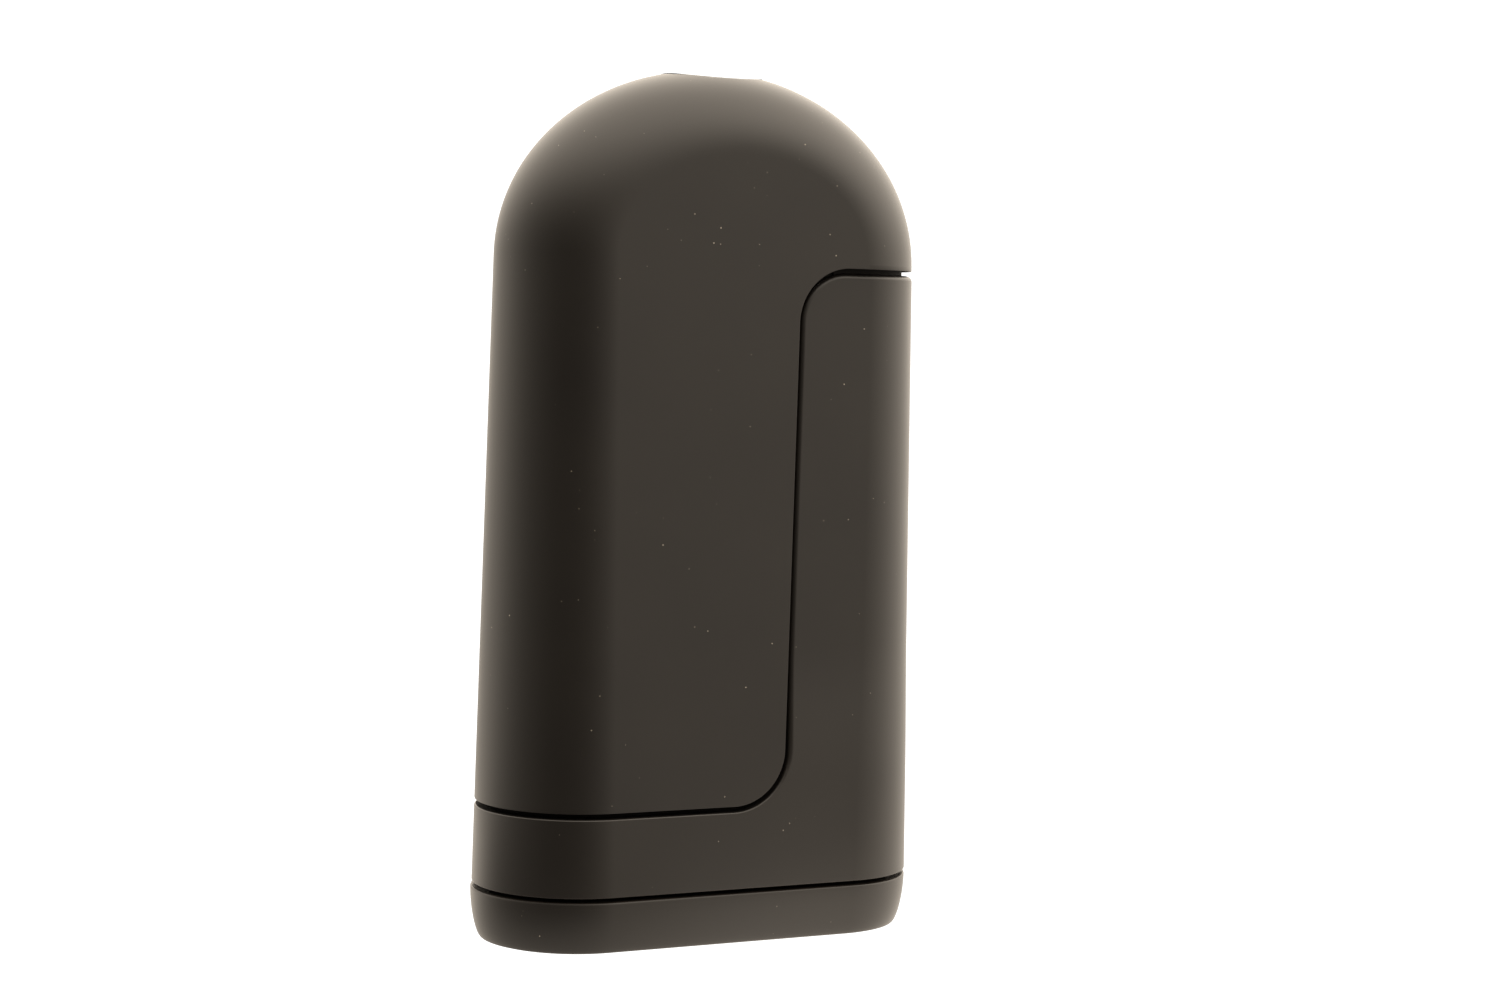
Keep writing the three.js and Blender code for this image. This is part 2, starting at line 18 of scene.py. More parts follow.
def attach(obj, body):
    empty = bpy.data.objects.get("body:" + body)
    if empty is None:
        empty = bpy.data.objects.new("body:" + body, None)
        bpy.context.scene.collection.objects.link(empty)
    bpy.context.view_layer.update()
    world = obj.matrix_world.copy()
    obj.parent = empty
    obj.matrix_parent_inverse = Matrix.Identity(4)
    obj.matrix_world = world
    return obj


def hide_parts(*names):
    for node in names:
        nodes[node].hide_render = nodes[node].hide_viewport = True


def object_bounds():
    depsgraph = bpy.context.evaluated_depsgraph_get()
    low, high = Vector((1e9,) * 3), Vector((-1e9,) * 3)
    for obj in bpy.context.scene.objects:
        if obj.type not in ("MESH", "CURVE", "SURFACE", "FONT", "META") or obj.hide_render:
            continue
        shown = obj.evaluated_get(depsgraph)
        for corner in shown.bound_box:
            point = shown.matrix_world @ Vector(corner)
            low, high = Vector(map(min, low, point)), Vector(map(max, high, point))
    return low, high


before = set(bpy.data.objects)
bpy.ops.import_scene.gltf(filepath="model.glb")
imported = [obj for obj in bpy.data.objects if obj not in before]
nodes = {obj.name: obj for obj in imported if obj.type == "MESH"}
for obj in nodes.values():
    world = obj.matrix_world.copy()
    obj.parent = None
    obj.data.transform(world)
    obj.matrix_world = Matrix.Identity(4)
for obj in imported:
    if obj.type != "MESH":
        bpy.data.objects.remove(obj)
cad_bounds = [list(corner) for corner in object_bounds()]
scene = bpy.context.scene
LOW, HIGH = (Vector(corner) for corner in cad_bounds)
print("size in mm:", [round(1000 * side, 2) for side in HIGH - LOW])

# %% [markdown]
# ## The camera
#
# A small product is best seen through a short telephoto lens, which keeps its upright sides nearly
# parallel. The camera could be placed by hand in the viewport, but then nobody could tell why it is
# where it is. Here it is placed by three plain facts: how far round the object it stands, how high,
# and how far away. Two small angles then turn it off the object's middle, and a third rolls it,
# because it was held a little askew.

# %% Place the camera
MM = 0.001
AZIMUTH, ELEVATION = math.radians(-26.34), math.radians(3.60)
DISTANCE = 229.16 * MM
LOOK_AT = Vector((0, 0, 33.2 * MM))
AIM_RIGHT, AIM_UP, ROLL = math.radians(0.96), math.radians(0.20), math.radians(1.45)
LENS, SENSOR = 70.0, 36.0

eye = bpy.data.objects.new("camera", bpy.data.cameras.new("camera"))
scene.collection.objects.link(eye)
scene.camera = eye
eye.data.lens, eye.data.sensor_width = LENS, SENSOR
eye.data.clip_start, eye.data.clip_end = 5 * MM, 20
eye.data.dof.use_dof = False
level = math.cos(ELEVATION)
towards_eye = Vector((math.sin(AZIMUTH) * level, -math.cos(AZIMUTH) * level, math.sin(ELEVATION)))
eye.location = LOOK_AT + DISTANCE * towards_eye
aim = (
    Matrix.Rotation(-AIM_RIGHT, 4, "Y")
    @ Matrix.Rotation(AIM_UP, 4, "X")
    @ Matrix.Rotation(ROLL, 4, "Z")
)
looking = (-towards_eye).to_track_quat("-Z", "Y").to_matrix().to_4x4()
eye.rotation_euler = (looking @ aim).to_euler()
print("camera at", [round(1000 * c, 1) for c in eye.location], "mm")

# %% [markdown]
# ## The outer form
#
# The maker's form is what a ball would sweep while it runs up one side, over the dome and down the
# other, with the space between filled in. The ball gets a little smaller on the way up, because a
# moulding needs draft. It could be modelled from a box with a subdivision surface, but the round
# would then only be nearly round. A lofted grid of rings is exact, and the same few numbers give
# every shell, inside and outside. The shapes are made in millimetres and turned to metres at the
# very end: small cuts come out cleaner that way.

# %% The form's numbers, in millimetres
SPRING_Z, DOME_RISE = 52.66, 14.83
FOOT_WIDTH, FOOT_DEPTH = 18.16, 7.88
WIDTH_DRAFT, DEPTH_DRAFT = -0.0138, -0.021
WALL, CAP_EDGE, ARM_PROUD = 1.1, 0.08, 0.1
BASE_SEAM, BAND_SEAM, ARM_SEAM = (4.12, 4.42), (10.38, 10.82), (51.92, 52.27)
ARM_INSET, ARM_RAMP = 0.48, (12.5, 23.0)


def half_width(z):
    return FOOT_WIDTH + WIDTH_DRAFT * z


def half_depth(z):
    return FOOT_DEPTH + DEPTH_DRAFT * z


def smooth(value, low, high):
    """0 up to low, 1 from high on, and a smooth rise between them."""
    t = min(max((value - low) / (high - low), 0), 1)
    return t * t * (3 - 2 * t)


def arm_inset(z):
    """How far the arm's cheeks sit below the hood's skin: nothing at the band, all by mid-height."""
    return ARM_INSET * smooth(z, *ARM_RAMP)


print("half width and depth at the shoulder:", half_width(SPRING_Z), half_depth(SPRING_Z))


# %% Turn points and faces into a mesh object
def shape_of(name, points, faces):
    mesh = bpy.data.meshes.new(name)
    mesh.from_pydata([tuple(p) for p in points], [], faces)
    mesh.validate()
    made = bpy.data.objects.new(name, mesh)
    scene.collection.objects.link(made)
    return made


def outward(made):
    """Closes up doubled points and turns every face out."""
    bm = bmesh.new()
    bm.from_mesh(made.data)
    bmesh.ops.remove_doubles(bm, verts=bm.verts, dist=1e-4)
    bmesh.ops.recalc_face_normals(bm, faces=bm.faces)
    bm.to_mesh(made.data)
    bm.free()
    return made


# %% The line that the ball runs along
def spine_of(inset, foot, arch, ramp_steps, proud):
    """The ball's centres, as (x, z) from the left foot over the dome to the right foot."""
    ramp = list(np.linspace(*ARM_RAMP, ramp_steps)) if ramp_steps else []
    rising = [(half_width(z) - half_depth(z) + inset(z), z) for z in [foot, *ramp, SPRING_Z]]
    span, rise = rising[-1][0], DOME_RISE - half_depth(SPRING_Z)
    for i in range(1, arch // 2):
        turn = math.pi * i / arch
        rising.append((span * math.cos(turn), SPRING_Z + rise * math.sin(turn)))
    left, right = [(-x, z) for x, z in rising], [(x + proud, z) for x, z in rising[::-1]]
    return [*left, (0.0, SPRING_Z + rise), *right]


line = spine_of(lambda z: 0.0, BASE_SEAM[0], 96, 0, 0.0)
print("the ball's line rises to", round(max(z for x, z in line), 2), "mm")


# %% Sweep the form
def form(
    name, shrink=0.0, inset=lambda z: 0.0, foot=-2.0, arch=96, around=40, ramp_steps=0, proud=0.0
):
    """The body's form, moved in by shrink.

    inset moves only the front and back faces in, and proud moves the end on the arm's side out.
    """
    line = spine_of(inset, foot, arch, ramp_steps, proud)
    points, last = [], len(line) - 1
    for i, (x, z) in enumerate(line):
        (ax, az), (bx, bz) = line[max(i - 1, 0)], line[min(i + 1, last)]
        out = Vector((az - bz, bx - ax)).normalized()
        if z <= SPRING_Z:
            out = Vector((math.copysign(1, x), 0))
        radius = half_depth(z) - inset(z) - shrink
        for k in range(around + 1):
            roll = -math.pi / 2 + math.pi * k / around
            reach = radius * math.cos(roll)
            points.append((x + reach * out[0], radius * math.sin(roll), z + reach * out[1]))
    at = lambda i, k: i * (around + 1) + k
    faces = [
        (at(i, k), at(i, k + 1), at(i + 1, k + 1), at(i + 1, k))
        for i in range(last)
        for k in range(around)
    ]
    for side in (0, around):
        for i in range(last // 2):
            ring = [at(i, side), at(i + 1, side), at(last - i - 1, side), at(last - i, side)]
            faces.append(tuple(dict.fromkeys(ring)))
    there, back = range(around + 1), range(around, -1, -1)
    faces.append(tuple([at(0, k) for k in there] + [at(last, k) for k in back]))
    return outward(shape_of(name, points, faces))


def inner_form(shrink, **more):
    """The same form at about half the fineness, for surfaces that are inside."""
    return form("inner", shrink=shrink, arch=48, around=24, **more)


# %% [markdown]
# ## Cutting tools
#
# Seams on the real lighter are where two mouldings meet, so each shell is the form with the other's
# share cut off. Modifiers left live would work, but every later step needs the finished mesh, so
# each cut is made for good. The exact solver is used, because these cuts leave walls a third of a
# millimetre thick. All the tools come from one idea: a skin stretched over rings of points.


# %% Cut, join and keep
def apply_all(made):
    """Makes a piece's modifiers part of its mesh."""
    bpy.context.view_layer.update()
    seen = made.evaluated_get(bpy.context.evaluated_depsgraph_get())
    done = bpy.data.meshes.new_from_object(seen)
    made.modifiers.clear()
    made.data = done
    return made


def work(made, *tools, how="DIFFERENCE"):
    """Cuts each tool from a piece, or joins it, or keeps only what they share."""
    for tool in tools:
        step = made.modifiers.new(how, "BOOLEAN")
        step.operation, step.solver, step.object = how, "EXACT", tool
        apply_all(made)
        bpy.data.objects.remove(tool)
    return made


# %% Blocks
SIDE, THROUGH = 30.0, 20.0  # past the body: left and right, and front and back


def block(x0, x1, y0, y1, z0, z1):
    corners = [(x, y, z) for x in (x0, x1) for y in (y0, y1) for z in (z0, z1)]
    ends = [(0, 1, 3, 2), (4, 6, 7, 5)]
    sides = [(0, 4, 5, 1), (2, 3, 7, 6), (0, 2, 6, 4), (1, 5, 7, 3)]
    return outward(shape_of("block", corners, ends + sides))


def stretch(x0, x1, z0, z1):
    """A block that goes right through the body from front to back."""
    return block(x0, x1, -THROUGH, THROUGH, z0, z1)


def layer(z0, z1):
    """Everything between two heights."""
    return stretch(-SIDE, SIDE, z0, z1)


# %% Skins over rings
def loft(name, rings):
    """A skin over rings of points, closed at both ends."""
    n, last = len(rings[0]), len(rings) - 1
    sides = [
        (i * n + k, i * n + (k + 1) % n, (i + 1) * n + (k + 1) % n, (i + 1) * n + k)
        for i in range(last)
        for k in range(n)
    ]
    ends = [tuple(range(n)), tuple(range(last * n, last * n + n))]
    return outward(shape_of(name, [point for ring in rings for point in ring], sides + ends))


def slab(outline, y0=-THROUGH, y1=THROUGH):
    """An outline drawn on the front face, pushed back."""
    return loft("slab", [[(x, y, z) for x, z in outline] for y in (y0, y1)])


def round_bar(x, z, radius, y0, y1, sides=64):
    """A round bar that lies front to back."""
    turns = [2 * math.pi * k / sides for k in range(sides)]
    return slab([(x + radius * math.cos(t), z + radius * math.sin(t)) for t in turns], y0, y1)


# %% [markdown]
# ## Fine edges
#
# No moulded edge is truly sharp. A soft-touch shell has an edge radius of about a tenth of a
# millimetre where it leaves a sharp steel tool, and the arm has a real chamfer, which is why light
# draws a thin line along it. A Bevel modifier limited by angle would round every inner corner as
# well and take long over it. So the edges that lie on the outer skin are picked by measuring, and
# each is given its own width as a weight.


# %% Round the edges on the skin
SAME_POINT = 0.004


def ease(made, skin, width, segments=2, sharpest=30.0, reach=0.01):
    """Rounds each sharp edge that lies on skin; width(point) is in millimetres."""
    bm = bmesh.new()
    bm.from_mesh(made.data)
    bmesh.ops.remove_doubles(bm, verts=bm.verts, dist=SAME_POINT)
    bmesh.ops.dissolve_degenerate(bm, dist=SAME_POINT, edges=bm.edges)
    layers = bm.edges.layers.float
    weights = layers.get("bevel_weight_edge") or layers.new("bevel_weight_edge")
    for edge in bm.edges:
        edge[weights] = 0.0
    tree = BVHTree.FromObject(skin, bpy.context.evaluated_depsgraph_get())
    widest, found = 0.0, []
    for edge in bm.edges:
        if len(edge.link_faces) != 2 or edge.calc_face_angle(0) < math.radians(sharpest):
            continue
        if any(tree.find_nearest(v.co)[3] > reach for v in edge.verts):
            continue
        size = width((edge.verts[0].co + edge.verts[1].co) / 2)
        widest = max(widest, size)
        found.append((edge, size))
    for edge, size in found:
        edge[weights] = size / widest
    bm.to_mesh(made.data)
    bm.free()
    step = made.modifiers.new("ease", "BEVEL")
    step.limit_method, step.width, step.segments = "WEIGHT", widest, segments
    step.use_clamp_overlap, step.harden_normals = False, False
    apply_all(made)
    print(made.name, "edges eased:", len(found), "widest", round(widest, 3), "mm")


# %% Tell skin from inside, and turn to metres
def mark_inside(made, skin, depth=0.3):
    """Gives every face deeper than depth under the skin the second finish: bare plastic, toned darker
    as painted seam shade.
    """
    tree = BVHTree.FromObject(skin, bpy.context.evaluated_depsgraph_get())
    for face in made.data.polygons:
        face.material_index = int(tree.find_nearest(face.center)[3] > depth)
    bare = sum(face.material_index for face in made.data.polygons)
    print(made.name, "bare faces inside:", bare)


def to_metres(made):
    """Brings a finished shape to metres and shades it: flats stay flat, rounds stay round."""
    made.data.transform(Matrix.Scale(MM, 4))
    made.data.shade_smooth()
    made.data.set_sharp_from_angle(angle=math.radians(32))
    step = made.modifiers.new("flat faces first", "WEIGHTED_NORMAL")
    step.mode, step.keep_sharp, step.weight = "FACE_AREA_WITH_ANGLE", True, 50
    bm = bmesh.new()
    bm.from_mesh(made.data)
    loose = sum(1 for edge in bm.edges if len(edge.link_faces) != 2)
    volume = round(bm.calc_volume() / MM**3, 1)
    print(made.name, "faces:", len(bm.faces), "open edges:", loose, "volume mm3:", volume)
    bm.free()


# %% [markdown]
# ## The L-shaped seam
#
# The trigger is one moulding: a band right round the foot of the body and an arm up its right side.
# The gap between it and the hood runs along the band, turns up through a wide concave corner, leans
# a little outward on its way up, and turns out over the arm's shoulder. One outline gives both
# sides of that gap, so the two shells stay parallel along it, as two mouldings from one drawing do.

# %% The outline
SEAM_X, SEAM_LEAN, SEAM_GAP = 4.15, 0.0198, 0.36
INNER_CORNER, OUTER_CORNER = 4.5, 4.2
UNDER = -5.0  # a height well under the body


def arc(x, y, radius, start, end, steps=20):
    turns = np.radians(np.linspace(start, end, steps + 1))
    return [(x + radius * math.cos(t), y + radius * math.sin(t)) for t in turns]


def trigger_side(shift, band_top, arm_top):
    """Everything on the trigger's side of the seam, moved by shift towards the hood."""
    seam = lambda z: SEAM_X + SEAM_LEAN * (z - 10) - shift
    inner, outer = INNER_CORNER - shift, OUTER_CORNER + shift
    low, high = band_top + inner, arm_top - outer
    return [
        (-SIDE, UNDER),
        (-SIDE, band_top),
        *arc(seam(low) - inner, low, inner, -90, 0, 28),
        *arc(seam(high) + outer, high, outer, 180, 90, 28),
        (SIDE, arm_top),
        (SIDE, UNDER),
    ]


print("seam outline points:", len(trigger_side(0, BAND_SEAM[0], ARM_SEAM[0])))

# %% [markdown]
# ## The hood
#
# The hood is a thin moulded shell, open at the foot. Its crown is cut by a shallow dish with the
# flame opening in it. Next to the arm its skin is thinned from inside, so that the arm's inner
# wall can slide in under it.

# %% The hood's numbers
TOP_Z, TOP_DISH, CROWN_HALF = 66.96, 33.0, 4.35
DISH_Z = TOP_Z + math.sqrt(TOP_DISH**2 - CROWN_HALF**2)
OPENING_LENGTH, OPENING_WIDTH, OPENING_DEPTH = 8.0, 3.9, 6.0
LIP_SKIN, LIP_REACH, LIP_RISE, LIP_LEFT, LIP_FOOT = 0.34, 1.9, (1.2, 1.0), 2.0, 15.0
HOOD_EDGE, CROWN_EDGE = 0.06, 0.16


def dish():
    return round_bar(0, DISH_Z, TOP_DISH, -THROUGH, THROUGH, 720)


def opening():
    """The flame opening: a slot with nearly full-round ends."""
    x, y = OPENING_LENGTH / 2, OPENING_WIDTH / 2
    r = y - 0.05
    corners = [(x - r, r - y, -90), (x - r, y - r, 0), (r - x, y - r, 90), (r - x, r - y, 180)]
    outline = [p for cx, cy, start in corners for p in arc(cx, cy, r, start, start + 90, 12)]
    ends = (TOP_Z - OPENING_DEPTH, TOP_Z + 2)
    return loft("opening", [[(px, py, z) for px, py in outline] for z in ends])


print("the dish is struck from a height of", round(DISH_Z, 2), "mm")

# %% Make the hood
lip_room = slab(trigger_side(LIP_REACH, BAND_SEAM[1] + LIP_RISE[0], ARM_SEAM[1] + LIP_RISE[1]))
work(lip_room, inner_form(LIP_SKIN), how="INTERSECT")
work(lip_room, stretch(-SIDE, LIP_LEFT, -10, LIP_FOOT))
hood = form("hood_shell", foot=BAND_SEAM[1] - 6)
work(
    hood,
    slab(trigger_side(SEAM_GAP / 2, BAND_SEAM[1], ARM_SEAM[1])),
    dish(),
    inner_form(WALL, foot=-4.0),
    lip_room,
    opening(),
)
print("hood cut:", len(hood.data.polygons), "faces")

# %% Ease the hood's edges
hood_skin, crown_skin = form("hood_skin"), dish()
ease(hood, hood_skin, lambda p: HOOD_EDGE)
ease(hood, crown_skin, lambda p: CROWN_EDGE, sharpest=50)
mark_inside(hood, hood_skin, 0.32)
for tool in (hood_skin, crown_skin):
    bpy.data.objects.remove(tool)
to_metres(hood)
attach(hood, "body")
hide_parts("hood")

# %% [markdown]
# ## The squeeze trigger
#
# The band and the arm are one piece, closed across the top of the arm. Inside, a thin wall stands
# behind each gap, so that nobody sees through it: a tongue above the band, another above the arm,
# and a cover behind the upright gap. A boss on each side of the band takes the pin that the trigger
# turns on.

# %% The trigger's numbers
PIVOT_X, PIVOT_Z, PIN_RADIUS, PIN_END, RUN = -6.0, 7.8, 0.8, 6.7, 0.12
BOSS_RADIUS, BOSS_FACE = 1.9, 5.3
POST_RADIUS, POST_ENDS, POST_Z = 1.1, (13.4, 16.6), 49
LEVER_PAD = (13.5, 16.6, -1.5, 1.5, 43.9, 45.2)
TONGUE_OUTER, TONGUE_INNER, TONGUE_RISE, TONGUE_STEP = 1.45, 2.05, 1.5, 0.8
BAND_TONGUE_FOOT, BAND_TONGUE_RIGHT, ARM_TONGUE_LEFT = 9.6, 3, 8
ROOT_GAP, ROOT_BITE, ARM_ROOT = 0.1, 0.3, 0.25
COVER_OUTER, COVER_INNER, COVER_REACH, COVER_ROOT, COVER_FOOT = 0.95, 1.55, 0.68, 1.0, 13.0
COVER_RISE, UNDER_SEAM = (0.5, 0.2), 0.9
ARM_CHAMFER, BAND_EDGE, CHAMFER_GROWS = 0.42, 0.12, 6.0


def tongue(z0, z1, root_top, root_shrink):
    """A thin wall that stands behind a level gap, on a thicker root that joins it to its shell."""

    def ring(shrink, low, high):
        made = work(inner_form(shrink), inner_form(TONGUE_INNER, foot=-4.0))
        return work(made, layer(low, high), how="INTERSECT")

    return work(ring(TONGUE_OUTER, z0, z1), ring(root_shrink, z0, root_top), how="UNION")


def trigger_form(name):
    return form(name, inset=arm_inset, ramp_steps=25, proud=ARM_PROUD)


print("pin hole:", round(2 * (PIN_RADIUS + RUN), 2), "mm across")

# %% Make the trigger's shell
trigger = trigger_form("trigger_shell")
share = slab(trigger_side(-SEAM_GAP / 2, BAND_SEAM[0], ARM_SEAM[0]))
work(trigger, share, how="INTERSECT")
hollow = inner_form(WALL, inset=arm_inset, foot=-4.0, ramp_steps=9)
work(hollow, layer(ARM_SEAM[0] - WALL, 80))
work(trigger, hollow, layer(UNDER, BASE_SEAM[1]))
print("trigger cut:", len(trigger.data.polygons), "faces")

# %% The walls behind its gaps
band_tongue = tongue(
    BAND_TONGUE_FOOT, BAND_SEAM[1] + TONGUE_RISE, BAND_SEAM[0] - ROOT_GAP, WALL - ROOT_BITE
)
work(band_tongue, stretch(BAND_TONGUE_RIGHT, SIDE, 0, 30))
arm_tongue = tongue(
    ARM_SEAM[0] - UNDER_SEAM, ARM_SEAM[1] + TONGUE_RISE, ARM_SEAM[1] + ARM_ROOT, TONGUE_STEP
)
work(arm_tongue, stretch(-SIDE, ARM_TONGUE_LEFT, 0, 90))
cover = inner_form(COVER_OUTER)
ahead = trigger_side(COVER_REACH, BAND_SEAM[1] + COVER_RISE[0], ARM_SEAM[1] + COVER_RISE[1])
behind = trigger_side(-COVER_ROOT, BAND_SEAM[0] - UNDER_SEAM, ARM_SEAM[0] - UNDER_SEAM)
work(cover, slab(ahead), how="INTERSECT")
work(cover, inner_form(COVER_INNER, foot=-4.0), slab(behind), layer(-10, COVER_FOOT))
print("cover behind the upright gap:", len(cover.data.polygons), "faces")

# %% Join them, with the bosses, the lever's pad and the spring's post
def turned(x, profile, sides=64):
    """A piece turned about an upright line: profile is (radius, height) pairs, end to end."""
    turns = [2 * math.pi * k / sides for k in range(sides)]
    return loft(
        "turned", [[(x + r * math.cos(t), r * math.sin(t), z) for t in turns] for r, z in profile]
    )


wall_y = half_depth(PIVOT_Z) - WALL / 2
post = turned(0, [(POST_RADIUS, z) for z in POST_ENDS], 24)
post.data.transform(Matrix.Translation((0, 0, POST_Z)) @ Matrix.Rotation(math.pi / 2, 4, "Y"))
work(
    trigger,
    round_bar(PIVOT_X, PIVOT_Z, BOSS_RADIUS, BOSS_FACE, wall_y, 32),
    round_bar(PIVOT_X, PIVOT_Z, BOSS_RADIUS, -wall_y, -BOSS_FACE, 32),
    block(*LEVER_PAD),
    post,
    band_tongue,
    arm_tongue,
    cover,
    how="UNION",
)
work(trigger, round_bar(PIVOT_X, PIVOT_Z, PIN_RADIUS + RUN, -PIN_END, PIN_END, 32))
print("trigger whole:", len(trigger.data.polygons), "faces")


# %% Ease the trigger's edges
def trigger_edge(p):
    """Nearly sharp round the band, growing to the arm's chamfer through the corner."""
    grown = smooth(p.z, BAND_SEAM[0], BAND_SEAM[0] + CHAMFER_GROWS)
    return BAND_EDGE + (ARM_CHAMFER - BAND_EDGE) * grown


trigger_skin = trigger_form("trigger_skin")
ease(trigger, trigger_skin, trigger_edge, segments=4)
mark_inside(trigger, trigger_skin, 0.25)
bpy.data.objects.remove(trigger_skin)
to_metres(trigger)
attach(trigger, "trigger")
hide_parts("trigger")

# %% [markdown]
# ## The base cap
#
# The cap closes the foot. It stands a hair proud of the band, and its underside rolls in all round.
# Two screws hold it. Between them are the flame adjuster's well and the filling valve's well.

# %% The base cap's numbers
CAP_FLOOR, CAP_WALL, CAP_LIP_FOOT, PIN_NOTCH = 2.4, WALL + 0.3, 2.9, 2.6
SOLE = [(1.8, 0.0), (1.25, 0.05)]  # how far in, and how high, where it starts to lift
ROLL_INSET, ROLL_RISE, ROLL_POWER, ROLL_LIFT, ROLL_STEPS = 0.9, 3.8, 1.6, 0.15, 18
FILL_X, ADJUSTER_X, SCREW_X = -1.4, -8.0, (-12.9, 12.9)
SCREW_WELL = [(1.75, -1), (1.75, 0.5), (1.3, 1.3), (1.3, 6)]
VALVE_WELLS = [(FILL_X, 2.7, 1.5), (FILL_X, 2.25, 6), (ADJUSTER_X, 2.4, 1.7), (ADJUSTER_X, 1.2, 6)]
CAP_ROUND = 0.12


def plan_ring(z, inset, steps=44):
    """The body's outline from above, at one height."""
    r, core = half_depth(z) - inset + CAP_EDGE, half_width(z) - half_depth(z)
    ends = [(core, -90), (-core, 90)]
    return [(x, y, z) for c, start in ends for x, y in arc(c, 0, r, start, start + 180, steps)]


rings = [plan_ring(z, inset) for inset, z in SOLE]
for i in range(ROLL_STEPS + 1):
    turn, sharpness = math.pi / 2 * i / ROLL_STEPS, 2 / ROLL_POWER
    up, drawn_in = 1 - math.cos(turn) ** sharpness, 1 - math.sin(turn) ** sharpness
    rings.append(plan_ring(ROLL_LIFT + ROLL_RISE * up, ROLL_INSET * drawn_in))
rings.append(plan_ring(BASE_SEAM[0], 0))
print("base cap rings:", len(rings), "of", len(rings[0]), "points")

# %% Make the base cap
base_cap = loft("base_cap_shell", rings)
work(base_cap, inner_form(CAP_WALL, foot=CAP_FLOOR))
lip = tongue(CAP_LIP_FOOT, BASE_SEAM[1] + TONGUE_RISE, BASE_SEAM[0] - ROOT_GAP, WALL)
work(lip, stretch(PIVOT_X - PIN_NOTCH, PIVOT_X + PIN_NOTCH, BASE_SEAM[0], 10))
work(base_cap, lip, how="UNION")
for x in SCREW_X:
    work(base_cap, turned(x, SCREW_WELL, 48))
for x, radius, top in VALVE_WELLS:
    work(base_cap, turned(x, [(radius, -1), (radius, top)]))
print("base cap:", len(base_cap.data.polygons), "faces")

# %% Ease the base cap's edges
cap_skin = loft("cap_skin", rings)
ease(base_cap, cap_skin, lambda p: CAP_ROUND, sharpest=50)
mark_inside(base_cap, cap_skin)
bpy.data.objects.remove(cap_skin)
to_metres(base_cap)
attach(base_cap, "body")
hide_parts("base_cap")

# %% [markdown]
# ## Colour and the node helper
#
# Colours are picked as sRGB hex values, the way a colour fan or a web page gives them, and
# Blender's shaders want linear light. One function does that sum. One more adds a node with its
# settings and its links in a single line, which keeps each recipe short enough to read.


# %% A colour in linear light
def paint(hex_colour):
    """A hex colour such as '#2c2a26' as linear RGBA."""
    parts = [int(hex_colour[i : i + 2], 16) / 255 for i in (1, 3, 5)]
    return (*[c / 12.92 if c <= 0.04045 else ((c + 0.055) / 1.055) ** 2.4 for c in parts], 1.0)


print("mid grey in linear light:", round(paint("#808080")[0], 3))


# %% Add a node
def add(tree, kind, settings=None, stops=(), **sockets):
    """Adds one node.

    settings are its own properties, and stops the (place, colour) pairs of a colour ramp.
    sockets are its inputs, each a value or another node's output; n6 is input number 6.
    """
    node = tree.nodes.new(kind)
    for key, value in (settings or {}).items():
        setattr(node, key, value)
    if stops:
        steps = node.color_ramp.elements
        while len(steps) < len(stops):
            steps.new(1.0)
        for step, (place, colour) in zip(steps, stops):
            step.position, step.color = place, colour
    for key, value in sockets.items():
        numbered = key.startswith("n") and key[1:].isdigit()
        socket = node.inputs[int(key[1:]) if numbered else key.replace("_", " ")]
        if isinstance(value, bpy.types.NodeSocket):
            tree.links.new(value, socket)
        else:
            socket.default_value = value
    return node


# %% Start a material
def start(name, shift=0.0):
    """A new material with an empty recipe, and the place on the object in metres and in mm."""
    made = bpy.data.materials.new(name)
    made.use_nodes = True
    tree = made.node_tree
    tree.nodes.clear()
    place = add(tree, "ShaderNodeTexCoord").outputs["Object"]
    moved, per_metre = (shift, 0.37 * shift, 0), (1000, 1000, 1000)
    mm = add(tree, "ShaderNodeMapping", Vector=place, Location=moved, Scale=per_metre)
    return made, tree, place, mm.outputs["Vector"]


# %% [markdown]
# ## Soft-touch black
#
# The shells are ABS, sprayed with a soft-touch lacquer: a warm black polyurethane with tiny beads
# in it. The beads scatter light, so the finish has no mirror-like highlight, only a broad grey
# bloom where it turns away from the eye. Its grain is too fine to see as bumps, about 0.05 mm, but
# it breaks up the bloom. Dust clings to it: pale specks a tenth of a millimetre across and less, a
# few to the square centimetre. A scattering of small mesh flakes could stand for them, but thousands
# of loose faces are a poor result, so they are drawn in the coat.

# %% The lacquer's and the dust's numbers
LACQUER_DEEP, LACQUER_LIGHT, LACQUER_ROUGH = "#171412", "#1b1815", (0.35, 0.40)
# A speck's radius is a share of its cell, and its strength is how much it covers.
CELLS_PER_MM, SPECK_RADIUS, SPECK_STRENGTH = 1.8, (0.045, 0.10), (0.12, 0.85)
DUST = "#d2c8b8"
DUSTIEST, DUST_HEAP = (7.4, -6.2, 61.0), (1.0, 5.5)
DRIFT_CUT, HEAP_CUT = (0.955, 0.85), 0.22  # the share of cells that stay bare, and how much less
SMOOTH = {"interpolation_type": "SMOOTHSTEP"}
print("widest speck:", 2 * SPECK_RADIUS[1] / CELLS_PER_MM, "mm")


